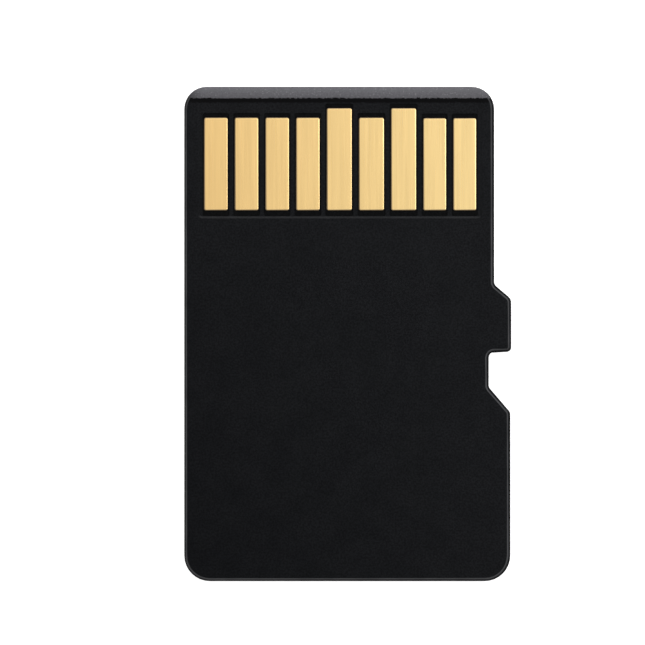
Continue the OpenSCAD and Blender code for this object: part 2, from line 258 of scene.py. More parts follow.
def grain_group():
    """Matte grain of a mask or a moulding, with a slower mottle over it."""
    group, given, out = shader_group(
        "Matte grain",
        [("Vector", VECTOR, None), ("Grain Size", NUMBER, 0.05 * MM), ("Mottle Size", NUMBER, 0.6 * MM)],
        ["Grain", "Mottle"])
    per_grain = scaled(group, given["Vector"], given["Grain Size"])
    per_mottle = scaled(group, given["Vector"], given["Mottle Size"])
    group.links.new(noise(group, per_grain, detail=3.0, roughness=0.6), out["Grain"])
    group.links.new(noise(group, per_mottle, detail=2.0), out["Mottle"])
    return group


# The painted highlights on the rims and the painted shade down the contacts' flanks are measured from a
# direction that leans five degrees to the side, so that they are wider on one side of a piece than on the
# other.
LEAN_OUT, LEAN_UP = 0.087, 0.996
# From where to where a normal's part along the card, or upwards, turns from no bevel to a bevel.
BEVEL_ALONG = (0.50, 0.58)
BEVEL_UP = (0.72, 0.78)
# From where to where a surface turns steep, as one less its normal's part along the lean.
STEEP_TILT = (0.10, 0.25)


def tilt_group():
    """Masks by how far the surface turns away from a face of the card, and whether it is the bevel."""
    group, given, out = shader_group(
        "Edge wear",
        [("Normal", VECTOR, None), ("Grain", NUMBER, 0.5), ("Lean", VECTOR, (-LEAN_OUT, 0.0, LEAN_UP)),
         ("Start", NUMBER, 0.008), ("Full", NUMBER, 0.045), ("Fade", NUMBER, 0.19)],
        ["Rim", "Steep", "Flank", "Front"])
    axes = group.nodes.new("ShaderNodeSeparateXYZ")
    group.links.new(given["Normal"], axes.inputs[0])
    along = group.nodes.new("ShaderNodeVectorMath")
    along.operation = "DOT_PRODUCT"
    group.links.new(given["Normal"], along.inputs[0])
    group.links.new(given["Lean"], along.inputs[1])
    tilt = maths(group, "SUBTRACT", 1.0, maths(group, "ABSOLUTE", along.outputs["Value"]))
    # Rim and Steep mask painted highlights, and Flank masks painted shade; the grain makes the highlights
    # patchy.
    rise = ranged(group, tilt, given["Start"], given["Full"])
    fade = ranged(group, tilt, maths(group, "MULTIPLY", given["Full"], 2.0), given["Fade"], 1.0, 0.0)
    patchy_light = ranged(group, given["Grain"], 0.25, 0.7, 0.72, 1.1)
    group.links.new(maths(group, "MULTIPLY", maths(group, "MULTIPLY", rise, fade), patchy_light), out["Rim"])
    group.links.new(rise, out["Flank"])
    group.links.new(maths(group, "MULTIPLY", ranged(group, tilt, *STEEP_TILT), patchy_light), out["Steep"])
    up = ranged(group, axes.outputs["Z"], *BEVEL_UP)
    ahead = ranged(group, axes.outputs["Y"], *BEVEL_ALONG)
    group.links.new(maths(group, "MULTIPLY", ahead, up), out["Front"])
    return group


# A streak's size across, along and in depth, in brush lines.
STREAK_SIZE = (6.25, 2.0, 6.25)


def brush_group():
    """Lengthwise brush lines on a plated face, and wider streaks among them."""
    group, given, out = shader_group(
        "Brushing",
        [("Vector", VECTOR, None), ("Line Width", NUMBER, 0.02 * MM), ("Line Length", NUMBER, 1.5 * MM)],
        ["Lines", "Streaks"])
    size = group.nodes.new("ShaderNodeCombineXYZ")
    for axis, name in (("X", "Line Width"), ("Y", "Line Length"), ("Z", "Line Width")):
        group.links.new(given[name], size.inputs[axis])
    fine = scaled(group, given["Vector"], size.outputs[0])
    group.links.new(noise(group, fine, detail=2.0), out["Lines"])
    wide = scaled(group, fine, STREAK_SIZE)
    group.links.new(noise(group, wide, detail=1.0), out["Streaks"])
    return group


def fleck_group():
    """Small bright filler grains that show in a cut face or a matte face."""
    group, given, out = shader_group(
        "Filler flecks",
        [("Vector", VECTOR, None), ("Fleck Size", NUMBER, 0.05 * MM), ("Share", NUMBER, 0.25)],
        ["Flecks"])
    cells = group.nodes.new("ShaderNodeTexVoronoi")
    cells.inputs["Scale"].default_value = 1.0
    group.links.new(scaled(group, given["Vector"], given["Fleck Size"]), cells.inputs["Vector"])
    near = ranged(group, cells.outputs["Distance"], 0.15, 0.45, 1.0, 0.0)
    split = group.nodes.new("ShaderNodeSeparateColor")
    group.links.new(cells.outputs["Color"], split.inputs[0])
    chosen = maths(group, "LESS_THAN", split.outputs[0], given["Share"])
    group.links.new(maths(group, "MULTIPLY", near, chosen), out["Flecks"])
    return group


EFFECTS = {
    "grain": ("Matte grain", grain_group),
    "tilt": ("Edge wear", tilt_group),
    "brush": ("Brushing", brush_group),
    "fleck": ("Filler flecks", fleck_group),
}


def shared_effects():
    """The effects that several materials share, each built once."""
    return {key: bpy.data.node_groups.get(label) or make() for key, (label, make) in EFFECTS.items()}


# Materials

class Finish:
    """A material with its Principled shader, its shared effects and its coordinates at hand."""

    def __init__(self, name):
        self.material = bpy.data.materials.new(name)
        self.material.use_nodes = True
        self.tree = self.material.node_tree
        self.tree.nodes.clear()
        self.shader = self.tree.nodes.new("ShaderNodeBsdfPrincipled")
        output = self.tree.nodes.new("ShaderNodeOutputMaterial")
        self.tree.links.new(self.shader.outputs[0], output.inputs["Surface"])
        where = self.tree.nodes.new("ShaderNodeTexCoord")
        self.at, self.normal = where.outputs["Object"], where.outputs["Normal"]
        self.effects = shared_effects()

    def set(self, name, value):
        if isinstance(value, (tuple, list)) and len(value) == 3:
            value = (*value, 1)
        connect(self.tree, self.shader, name, value)

    def effect(self, key, **inputs):
        return place_group(self.tree, self.effects[key], **inputs)

    def axes(self, vector=None):
        """The three parts of a vector, which is the place on the piece if none is given."""
        split = self.tree.nodes.new("ShaderNodeSeparateXYZ")
        self.tree.links.new(vector or self.at, split.inputs[0])
        return split.outputs

    def bump(self, height, depth, strength=1.0):
        made = node(self.tree, "ShaderNodeBump", Height=height, Strength=strength, Distance=depth)
        self.set("Normal", made.outputs[0])


def rgb(values):
    return tuple(values)[:3]


# Along the bevel's rear edge the mask breaks off unevenly, and behind the break runs a band of painted
# shade.
BREAK_WANDER = 0.045 * MM
BREAK_LUMPS = (0.09 * MM, 0.07 * MM, 0.09 * MM)
BREAK_BLUR = (-0.014 * MM, 0.006 * MM)
BEVEL_SHADE_BAND = (-0.17 * MM, -0.12 * MM)
BEVEL_SHADE_SHARE = 0.9
BEVEL_SHADE_COLOUR = (0.0038, 0.0038, 0.0041)
# Both stay in the card's top layer, which fades out between these depths under the contact face.
TOP_LAYER = (0.05 * MM, 0.03 * MM)
# Bands of painted highlight down the steep sides: at the tab's side, and at the rear end.
TAB_BAND = (0.028 * MM, 0.020 * MM)
REAR_BAND = (0.10 * MM, 0.04 * MM)
# The lowered field reaches this far past the contacts, at their sides and behind them.
FIELD_SIDE = (0.25 * MM, 0.22 * MM)
FIELD_REAR = (0.28 * MM, 0.25 * MM)
FACE_FLECK = (0.05, 0.05, 0.05)
CUT_FLECK = (0.24, 0.24, 0.25)
BLACK_SPECULAR = 0.018
# The bevel takes this much of the card's length to cut through the mask.
CUT_THROUGH_MASK = 0.053 * MM


def bevel_rear():
    """Where the bevel begins, along the card."""
    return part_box("contact_mask")[1].y - CUT_THROUGH_MASK


def face_tone(finish, grain, low, high):
    """The colour of a black face: its own mottle, and painted shade that darkens it towards its rear left
    corner.
    """
    tree, axes = finish.tree, finish.axes()
    across = ranged(tree, axes["X"], CARD_LOW.x, CARD_HIGH.x, 1.0, 0.35, smooth=False)
    along = ranged(tree, axes["Y"], CARD_LOW.y, CARD_HIGH.y, 1.0, 0.22, smooth=False)
    mottle = ranged(tree, grain["Mottle"], 0.3, 0.7, 0.86, 1.14)
    # Painted shade towards the rear left corner, taken off the mottle.
    lighter = maths(tree, "SUBTRACT", mottle, maths(tree, "MULTIPLY", across, along), clamp=True)
    speckle = ranged(tree, grain["Grain"], 0.34, 0.66, 0.72, 1.28)
    return shaded(tree, mixed(tree, lighter, low, high), speckle)


def broken_place(finish):
    """Each point's place along the card, shifted a little to and fro."""
    tree = finish.tree
    flaking = noise(tree, scaled(tree, finish.at, BREAK_LUMPS), detail=3.0, roughness=0.65)
    shift = ranged(tree, flaking, 0.2, 0.8, -BREAK_WANDER, BREAK_WANDER, smooth=False)
    return maths(tree, "ADD", finish.axes()["Y"], shift)


def field_share(finish):
    """The lowered field around the contacts."""
    tree, axes = finish.tree, finish.axes()
    first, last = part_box(CONTACTS[0])[0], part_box(CONTACTS[-1])[1]
    left = ranged(tree, axes["X"], *[first.x - reach for reach in FIELD_SIDE])
    right = ranged(tree, axes["X"], *[last.x + reach for reach in reversed(FIELD_SIDE)], 1.0, 0.0)
    behind = ranged(tree, axes["Y"], *[first.y - reach for reach in FIELD_REAR])
    return maths(tree, "MULTIPLY", maths(tree, "MULTIPLY", left, right), behind)


def painted_rim_highlight(finish, tilt, rim_share, steep_share):
    """Painted highlight along the rims, less in the lowered field; at the tab and the rear end it also runs
    down the steep sides.
    """
    tree, axes = finish.tree, finish.axes()
    # The steep sides at the tab and at the rear end take painted highlight too.
    tab_side = ranged(tree, axes["X"], *[CARD_HIGH.x - reach for reach in TAB_BAND])
    rear_side = ranged(tree, axes["Y"], *[CARD_LOW.y + reach for reach in REAR_BAND])
    tab_and_rear_highlight = maths(tree, "MULTIPLY", maths(tree, "MAXIMUM", tab_side, rear_side), tilt["Steep"])
    # Inside the lowered field the rims get no painted highlight, except the field's rear slope, which faces
    # forwards and keeps a quarter of it.
    facing = finish.axes(finish.normal)["Y"]
    spared = ranged(tree, facing, 0.1, 0.2, rim_share, 0.75 * rim_share)
    outer = maths(tree, "SUBTRACT", rim_share, maths(tree, "MULTIPLY", field_share(finish), spared))
    along_rims = maths(tree, "MULTIPLY", tilt["Rim"], outer)
    return maths(tree, "ADD", along_rims, maths(tree, "MULTIPLY", tab_and_rear_highlight, steep_share), clamp=True)


def bare_cut(finish, grain, fleck):
    """The bare face of the bevel, with filler flecks: its grey, lighter to its front, is painted light, and
    it is darker at its left end.
    """
    tree, axes = finish.tree, finish.axes()
    cut = bpy.context.scene.card_black.cut
    bare = mixed(tree, ranged(tree, grain["Grain"], 0.3, 0.7), tuple(0.80 * c for c in cut), rgb(cut))
    bare = mixed(tree, maths(tree, "MULTIPLY", fleck["Flecks"], 0.55), bare, CUT_FLECK)
    # Painted light, lighter towards the bevel's front edge.
    bare = shaded(tree, bare, ranged(tree, axes["Y"], bevel_rear(), CARD_HIGH.y, 0.80, 1.30, smooth=False))
    left_end = [CARD_LOW.x + reach * MM for reach in (0.05, 0.60)]
    return shaded(tree, bare, ranged(tree, axes["X"], *left_end, 0.45, 1.0))


def black_finish(name, low, high, roughness, rim_share=1.0, steep_share=0.0, fleck_share=0.0, depth=2.2e-6):
    """A matte black finish: bare and grey with painted light on the lead-in bevel, a band of painted shade
    beside it, and painted highlights along the rims.
    """
    black = bpy.context.scene.card_black
    finish = Finish(name)
    tree = finish.tree
    grain = finish.effect("grain", Vector=finish.at, Grain_Size=black.grain, Mottle_Size=0.7 * MM)
    tilt = finish.effect("tilt", Normal=finish.normal, Grain=grain["Mottle"])
    fleck = finish.effect("fleck", Vector=finish.at, Fleck_Size=0.06 * MM, Share=0.3)
    broken = broken_place(finish)
    top_layer = ranged(tree, finish.axes()["Z"], *[CARD_HIGH.z - reach for reach in TOP_LAYER])

    face = face_tone(finish, grain, low, high)
    if fleck_share:
        face = mixed(tree, maths(tree, "MULTIPLY", fleck["Flecks"], fleck_share), face, FACE_FLECK)
    # A band of painted shade beside the bevel.
    bevel_shade = ranged(tree, broken, *[bevel_rear() + reach for reach in BEVEL_SHADE_BAND])
    bevel_shade = maths(tree, "MULTIPLY", maths(tree, "MULTIPLY", bevel_shade, top_layer), BEVEL_SHADE_SHARE)
    face = mixed(tree, bevel_shade, face, BEVEL_SHADE_COLOUR)
    # Painted highlight along the rims.
    face = mixed(tree, painted_rim_highlight(finish, tilt, rim_share, steep_share), face, rgb(black.rim))

    edge = ranged(tree, broken, *[bevel_rear() + reach for reach in BREAK_BLUR])
    edge = maths(tree, "MULTIPLY", maths(tree, "SUBTRACT", edge, tilt["Front"]), top_layer)
    cut = maths(tree, "ADD", tilt["Front"], edge)
    finish.set("Base Color", mixed(tree, cut, face, bare_cut(finish, grain, fleck)))
    finish.set("Roughness", ranged(tree, grain["Grain"], 0.25, 0.75, roughness - 0.06, roughness + 0.08))
    finish.set("Specular IOR Level", BLACK_SPECULAR)
    finish.bump(maths(tree, "ADD", grain["Grain"], maths(tree, "MULTIPLY", grain["Mottle"], 0.6)), depth)
    return finish.material


def mask_finish():
    black = bpy.context.scene.card_black
    return black_finish("Black solder mask", rgb(black.mask), rgb(black.mask_mottle_and_lit), 0.52)


def moulding_finish():
    black = bpy.context.scene.card_black
    low = rgb(black.moulding)
    return black_finish("Black epoxy moulding", low, tuple(1.3 * c for c in low), 0.58,
                        rim_share=0.5, steep_share=0.4, fleck_share=0.25, depth=3.5e-6)


def laminate_finish():
    black = bpy.context.scene.card_black
    low = rgb(black.laminate)
    return black_finish("Black laminate", low, tuple(1.2 * c for c in low), 0.55,
                        rim_share=0.0, steep_share=0.8, fleck_share=0.05, depth=2.5e-6)


# The inner mask is as grey as the rest of the bevel where the bevel cuts it: painted light, as on the rest
# of the bevel.
GREEN_LOW, GREEN_HIGH, GREEN_CUT = (0.010, 0.028, 0.020), (0.016, 0.042, 0.028), (0.124, 0.125, 0.134)


def green_finish():
    finish = Finish("Green inner mask")
    tree = finish.tree
    grain = finish.effect("grain", Vector=finish.at, Grain_Size=0.08 * MM, Mottle_Size=0.8 * MM)
    tilt = finish.effect("tilt", Normal=finish.normal, Grain=grain["Mottle"])
    green = mixed(tree, grain["Mottle"], GREEN_LOW, GREEN_HIGH)
    finish.set("Base Color", mixed(tree, tilt["Front"], green, GREEN_CUT))
    finish.set("Roughness", ranged(tree, grain["Grain"], 0.2, 0.8, 0.46, 0.58))
    finish.set("Specular IOR Level", 0.05)
    finish.bump(grain["Grain"], 1.5e-6)
    return finish.material


# Where the plating is a little redder, and the most that shows of it.
RED_GOLD, RED_SHARE = (0.78, 0.52, 0.24), 0.25


def gold_finish():
    """Hard gold: lengthwise brushing on the face, and painted shade down its flanks."""
    gold = bpy.context.scene.card_gold
    finish = Finish("Hard gold plating")
    tree = finish.tree
    brush = finish.effect("brush", Vector=finish.at, Line_Width=gold.brush, Line_Length=2.2 * MM)
    grain = finish.effect("grain", Vector=finish.at, Grain_Size=0.05 * MM, Mottle_Size=0.9 * MM)
    tilt = finish.effect("tilt", Normal=finish.normal, Grain=grain["Mottle"],
                         Lean=(LEAN_OUT, 0.0, LEAN_UP), Start=0.006, Full=0.06)
    first, last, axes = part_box(CONTACTS[0])[0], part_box(CONTACTS[-1])[1], finish.axes()
    # Painted light: the plating grows lighter from the first contact to the last. It is also a little
    # darker towards the rear.
    across = ranged(tree, axes["X"], first.x, last.x, smooth=False)
    plate = mixed(tree, across, rgb(gold.left), rgb(gold.right))
    plate = shaded(tree, plate, ranged(tree, axes["Y"], first.y, last.y, 0.975, 1.0, smooth=False))
    plate = shaded(tree, plate, ranged(tree, brush["Streaks"], 0.3, 0.7, 0.94, 1.0))
    plate = mixed(tree, ranged(tree, grain["Mottle"], 0.55, 0.85, 0.0, RED_SHARE), plate, RED_GOLD)
    # Painted shade down the flanks, wider on the left.
    finish.set("Base Color", mixed(tree, tilt["Flank"], plate, rgb(gold.flank_shade)))
    finish.set("Metallic", 1.0)
    lined = ranged(tree, brush["Lines"], 0.25, 0.75, gold.roughness - 0.05, gold.roughness + 0.08)
    finish.set("Roughness", lined)
    finish.bump(brush["Lines"], 0.5e-6)
    return finish.material


def metal_finish(name, dull, bright, roughness, line=0.03 * MM, depth=0.8e-6):
    """A plated or drawn metal with brush lines, twelve times as long as wide, and a change of tone."""
    finish = Finish(name)
    tree = finish.tree
    brush = finish.effect("brush", Vector=finish.at, Line_Width=line, Line_Length=12 * line)
    grain = finish.effect("grain", Vector=finish.at, Grain_Size=0.03 * MM, Mottle_Size=0.4 * MM)
    finish.set("Base Color", mixed(tree, grain["Mottle"], dull, bright))
    finish.set("Metallic", 1.0)
    finish.set("Roughness", ranged(tree, brush["Lines"], 0.2, 0.8, roughness - 0.05, roughness + 0.1))
    finish.bump(brush["Lines"], depth)
    return finish.material


CELL_PITCH = {"X": 0.16 * MM, "Y": 0.10 * MM}
CELL_LOW, CELL_HIGH, STREET = (0.045, 0.048, 0.068), (0.075, 0.070, 0.095), (0.16, 0.15, 0.13)


def silicon_finish():
    """Thinned silicon: a grey-violet face with a faint grid of streets between its cells."""
    finish = Finish("Passivated silicon")
    tree = finish.tree
    axes = finish.axes()
    lines = [maths(tree, "PINGPONG", maths(tree, "DIVIDE", axes[axis], pitch), 0.5)
             for axis, pitch in CELL_PITCH.items()]
    streets = maths(tree, "MAXIMUM", *[ranged(tree, value, 0.06, 0.02) for value in lines])
    grain = finish.effect("grain", Vector=finish.at, Grain_Size=0.02 * MM, Mottle_Size=0.5 * MM)
    cell = mixed(tree, grain["Mottle"], CELL_LOW, CELL_HIGH)
    finish.set("Base Color", mixed(tree, maths(tree, "MULTIPLY", streets, 0.6), cell, STREET))
    finish.set("Roughness", ranged(tree, grain["Grain"], 0.2, 0.8, 0.16, 0.28))
    finish.set("Metallic", 0.35)
    finish.bump(streets, 0.6e-6)
    return finish.material


def soft_finish(name, dull, bright, roughness, grain_size, mottle_size, depth):
    """A fine-grained finish for the adhesive film and the capacitor ceramic."""
    finish = Finish(name)
    tree = finish.tree
    grain = finish.effect("grain", Vector=finish.at, Grain_Size=grain_size, Mottle_Size=mottle_size)
    fleck = finish.effect("fleck", Vector=finish.at, Fleck_Size=1.6 * grain_size, Share=0.2)
    tone = mixed(tree, grain["Mottle"], dull, bright)
    finish.set("Base Color", mixed(tree, maths(tree, "MULTIPLY", fleck["Flecks"], 0.3), tone, dull))
    finish.set("Roughness", ranged(tree, grain["Grain"], 0.2, 0.8, roughness - 0.08, roughness + 0.08))
    finish.bump(grain["Grain"], depth)
    return finish.material


def copper_finish():
    return metal_finish("Plated copper", (0.50, 0.20, 0.09), (0.72, 0.34, 0.17), roughness=0.32)


def wire_finish():
    return metal_finish("Gold wire", (0.80, 0.52, 0.18), (0.95, 0.68, 0.28),
                        roughness=0.22, line=0.01 * MM, depth=0.3e-6)


def tin_finish():
    return metal_finish("Tin plating", (0.52, 0.53, 0.54), (0.70, 0.71, 0.72),
                        roughness=0.36, line=0.02 * MM, depth=1e-6)


def film_finish():
    return soft_finish("Die-attach film", (0.42, 0.34, 0.18), (0.60, 0.52, 0.31),
                       roughness=0.45, grain_size=0.03 * MM, mottle_size=0.4 * MM, depth=1e-6)


def ceramic_finish():
    return soft_finish("Sintered ceramic", (0.36, 0.26, 0.17), (0.52, 0.40, 0.28),
                       roughness=0.62, grain_size=0.02 * MM, mottle_size=0.15 * MM, depth=1.5e-6)


FINISHES = {
    "contact_side_mask": mask_finish,
    "moulding": moulding_finish,
    "laminate": laminate_finish,
    "inner_side_mask": green_finish,
    "gold": gold_finish,
    "copper": copper_finish,
    "silicon": silicon_finish,
    "die_film": film_finish,
    "bond_wire": wire_finish,
    "capacitor_ceramic": ceramic_finish,
    "tin": tin_finish,
}
FINISH_CACHE = {}


def finish_for(slot):
    """The material of a slot, made when it is first asked for."""
    if slot not in FINISH_CACHE:
        FINISH_CACHE[slot] = FINISHES[slot]()
    return FINISH_CACHE[slot]


# Meshes

MERGE_DISTANCE = 1e-7
LEVEL = 0.99999
# An edge that turns more than this stays crisp. Beside the bevel and the field's shallow slopes, which
# lie between two tilts, a smaller turn is enough.
SHARP_TURN = math.radians(30)
SLOPE_TURN = math.radians(8)
SLOPE_TILT = (math.radians(13), math.radians(18))


def is_sloped(face):
    """Whether a face lies in the bevel or in a slope of the lowered field."""
    tilt = math.acos(min(1, abs(face.normal.z)))
    in_bevel = face.normal.y > 0.5 and face.normal.z > 0.7 and abs(face.normal.x) < 0.02
    return in_bevel or SLOPE_TILT[0] < tilt < SLOPE_TILT[1]


def merged_copy(name, label):
    """A copy of a CAD node's mesh with its triangles joined: smooth roundings and crisp edges."""
    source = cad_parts.get(name)
    if source is None:
        raise RuntimeError(f"The packed model has no node named {name}")
    mesh = bpy.data.meshes.new(label)
    work = bmesh.new()
    work.from_mesh(source.data)
    bmesh.ops.remove_doubles(work, verts=work.verts, dist=MERGE_DISTANCE)
    work.normal_update()
    refill_folds(work)
    for face in work.faces:
        face.smooth = True
    for edge in work.edges:
        turn = edge.calc_face_angle(math.pi)
        sloped = any(is_sloped(face) for face in edge.link_faces)
        edge.smooth = turn < SHARP_TURN and not (sloped and turn > SLOPE_TURN)
    work.to_mesh(mesh)
    mesh.normals_split_custom_set(corner_normals(work))
    work.free()
    piece = bpy.data.objects.new(label, mesh)
    bpy.context.scene.collection.objects.link(piece)
    return piece


def level_parts(work):
    """The level faces of a mesh, in lots that hang together by their edges."""
    left = dict.fromkeys(face for face in work.faces if abs(face.normal.z) > LEVEL)
    parts = []
    while left:
        part, reached = {}, [left.popitem()[0]]
        while reached:
            face = reached.pop()
            part[face] = True
            for edge in face.edges:
                for other in edge.link_faces:
                    if other in left:
                        del left[other]
                        reached.append(other)
        parts.append(part)
    return parts


def refill_folds(work):
    """Fills a level face afresh where its triangles fold over each other, so that some look down."""
    for part in level_parts(work):
        if len({face.normal.z > 0 for face in part}) == 1:
            continue
        area = sum(face.calc_area() * face.normal.z for face in part)
        rim = [edge for face in part for edge in face.edges
               if sum(other in part for other in edge.link_faces) == 1]
        bmesh.ops.delete(work, geom=list(part), context="FACES")
        out = Vector((0, 0, math.copysign(1, area)))
        made = bmesh.ops.triangle_fill(work, use_beauty=True, edges=rim, normal=out)["geom"]
        filled = [item for item in made if isinstance(item, bmesh.types.BMFace)]
        for face in filled:
            face.normal_update()
            if face.normal.dot(out) < 0:
                face.normal_flip()
        if abs(sum(face.calc_area() for face in filled) - abs(area)) > 1e-4 * abs(area):
            raise RuntimeError("A level face did not fill")
    work.normal_update()


def corner_normals(work):
    """One normal for each corner of each face: the mean of the faces that run smoothly into it there.
    Where a level face is among them, its normal is taken, so that it stays flat to its rim."""
    work.verts.index_update()
    work.faces.index_update()
    found = {}
    for vert in work.verts:
        left = list(vert.link_faces)
        while left:
            fan, reached = [], [left.pop(0)]
            while reached:
                face = reached.pop()
                fan.append(face)
                for edge in face.edges:
                    if edge.smooth and vert in edge.verts:
                        joined = [other for other in edge.link_faces if other in left]
                        reached += joined
                        left = [other for other in left if other not in joined]
            level = [face for face in fan if abs(face.normal.z) > LEVEL]
            mean = sum((face.normal * face.calc_area() for face in level or fan), Vector())
            for face in fan:
                found[face.index, vert.index] = mean.normalized()
    return [found[face.index, loop.vert.index] for face in work.faces for loop in face.loops]


def apply_modifiers(piece):
    """Turns what a piece's modifiers make into its plain mesh."""
    scene_state = bpy.context.evaluated_depsgraph_get()
    made = bpy.data.meshes.new_from_object(
        piece.evaluated_get(scene_state), preserve_all_data_layers=True, depsgraph=scene_state)
    piece.modifiers.clear()
    old = piece.data
    piece.data = made
    bpy.data.meshes.remove(old)


def dress(piece, slot, *nodes):
    """Gives a piece its finish and lets it stand for its CAD nodes."""
    piece.data.materials.clear()
    piece.data.materials.append(finish_for(slot))
    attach(piece, "root")
    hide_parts(*nodes)
    return piece


def dressed_copy(name, label, slot):
    return dress(merged_copy(name, label), slot, name)


def repaint(names, slot):
    """A CAD node whose shape is right keeps its mesh and gets a better finish."""
    for name in names:
        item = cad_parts[name]
        item.data.materials.clear()
        item.data.materials.append(finish_for(slot))


# Bond wires

def wire_loop(start, end, thickness, rise, steps=10):
    """Points along a wire's loop, from one landing to the other."""
    low = min(start.z, end.z) - rise
    middle, half = (start.y + end.y) / 2, (end.y - start.y) / 2
    points = [start]
    for k in range(steps + 1):
        turn = math.pi * k / steps
        foot = (start.z if turn < math.pi / 2 else end.z) - thickness
        reach = middle - half * math.cos(turn)
        points.append(Vector((start.x, reach, foot - (foot - low) * math.sin(turn))))
    return points + [end]


BALL_FLATNESS = 0.35


def wire_tree(sizes):
    """Round wires along polylines, with a flattened ball at each end."""
    tree = bpy.data.node_groups.new("Bond wires", "GeometryNodeTree")
    tree.is_modifier = True
    side = tree.interface
    side.new_socket(name="Geometry", in_out="INPUT", socket_type="NodeSocketGeometry")
    for label, value in (("Thickness", sizes.thickness), ("Ball", sizes.ball)):
        socket = side.new_socket(name=label, in_out="INPUT", socket_type="NodeSocketFloat")
        socket.default_value = value
        socket.subtype = "DISTANCE"
    side.new_socket(name="Material", in_out="INPUT", socket_type="NodeSocketMaterial")
    side.new_socket(name="Geometry", in_out="OUTPUT", socket_type="NodeSocketGeometry")
    given = tree.nodes.new("NodeGroupInput").outputs
    out = tree.nodes.new("NodeGroupOutput").inputs

    def step(kind, **inputs):
        return node(tree, kind, **inputs)

    def half_of(value):
        half = tree.nodes.new("ShaderNodeMath")
        half.operation = "MULTIPLY"
        tree.links.new(value, half.inputs[0])
        half.inputs[1].default_value = 0.5
        return half.outputs[0]

    route = step("GeometryNodeMeshToCurve", Mesh=given["Geometry"]).outputs[0]
    profile = step("GeometryNodeCurvePrimitiveCircle", Resolution=10, Radius=half_of(given["Thickness"]))
    tube = step("GeometryNodeCurveToMesh", Curve=route, Profile_Curve=profile.outputs[0], Fill_Caps=True)
    ends = step("GeometryNodeCurveEndpointSelection", Start_Size=1, End_Size=1)
    ball = step("GeometryNodeMeshUVSphere", Segments=12, Rings=6, Radius=half_of(given["Ball"]))
    flat = step("GeometryNodeTransform", Geometry=ball.outputs[0], Scale=(1.0, 1.0, BALL_FLATNESS))
    balls = step(
        "GeometryNodeInstanceOnPoints", Points=route, Selection=ends.outputs[0], Instance=flat.outputs[0])
    joined = tree.nodes.new("GeometryNodeJoinGeometry")
    tree.links.new(balls.outputs[0], joined.inputs[0])
    tree.links.new(tube.outputs[0], joined.inputs[0])
    whole = step("GeometryNodeRealizeInstances", Geometry=joined.outputs[0])
    smooth = step("GeometryNodeSetShadeSmooth", Geometry=whole.outputs[0])
    painted = step("GeometryNodeSetMaterial", Geometry=smooth.outputs[0], Material=given["Material"])
    tree.links.new(painted.outputs[0], out[0])
    return tree


def wire_piece(label, name, spans):
    """One piece of round wires, each looped from one end of its span to the other, for a CAD node."""
    sizes = bpy.context.scene.card_wires
    mesh = bpy.data.meshes.new(label)
    points, edges = [], []
    for start, end in spans:
        loop = wire_loop(start, end, sizes.thickness, sizes.rise)
        first = len(points)
        points += loop
        edges += [(first + k, first + k + 1) for k in range(len(loop) - 1)]
    mesh.from_pydata(points, edges, [])
    piece = bpy.data.objects.new(label, mesh)
    bpy.context.scene.collection.objects.link(piece)
    tree = bpy.data.node_groups.get("Bond wires") or wire_tree(sizes)
    modifier = piece.modifiers.new("Bond wires", "NODES")
    modifier.node_group = tree
    sockets = {item.name: item.identifier for item in tree.interface.items_tree
               if item.in_out == "INPUT"}
    modifier[sockets["Thickness"]] = sizes.thickness
    modifier[sockets["Ball"]] = sizes.ball
    modifier[sockets["Material"]] = finish_for("bond_wire")
    apply_modifiers(piece)
    if not piece.data.polygons:
        raise RuntimeError(f"{label} came out empty")
    return dress(piece, "bond_wire", name)


# How many wires run from the controller's front and rear edges, and up the memory stack.
FRONT_WIRES, REAR_WIRES, STACK_WIRES = 9, 8, 8


def wire_places(count):
    """Distances across the card of a row of wires, centred on the contacts."""
    sizes = bpy.context.scene.card_wires
    middle = (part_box(CONTACTS[0])[0].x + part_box(CONTACTS[-1])[1].x) / 2
    return [middle + (k - (count - 1) / 2) * sizes.pitch for k in range(count)]


# Operators

class CARD_OT_contact_mask(bpy.types.Operator):
    """Dress the black mask around the contacts"""
    bl_idname = "card.contact_mask"
    bl_label = "Contact Mask"

    def execute(self, context):
        dressed_copy("contact_mask", "black_mask", "contact_side_mask")
        return {"FINISHED"}


class CARD_OT_moulding(bpy.types.Operator):
    """Dress the moulding that carries the label face and the finger lip"""
    bl_idname = "card.moulding"
    bl_label = "Moulding"

    def execute(self, context):
        dressed_copy("moulded_body", "moulding", "moulding")
        return {"FINISHED"}


class CARD_OT_board(bpy.types.Operator):
    """Dress the laminate board, its inner mask, its vias and its traces"""
    bl_idname = "card.board"
    bl_label = "Board"

    def execute(self, context):
        repaint(["board_core"], "laminate")
        repaint(["inner_mask"], "inner_side_mask")
        repaint(["contact_vias", "inner_traces"], "copper")
        return {"FINISHED"}


class CARD_OT_contacts(bpy.types.Operator):
    """Dress the nine gold contacts"""
    bl_idname = "card.contacts"
    bl_label = "Contacts"

    def execute(self, context):
        for number, name in enumerate(CONTACTS, start=1):
            dressed_copy(name, f"gold_pad_{number}", "gold")
        return {"FINISHED"}


class CARD_OT_chips(bpy.types.Operator):
    """Dress the controller, the memory stack and their films"""
    bl_idname = "card.chips"
    bl_label = "Chips"

    def execute(self, context):
        repaint(["controller_chip", *MEMORY_CHIPS], "silicon")
        repaint(["controller_film", *MEMORY_FILMS], "die_film")
        return {"FINISHED"}


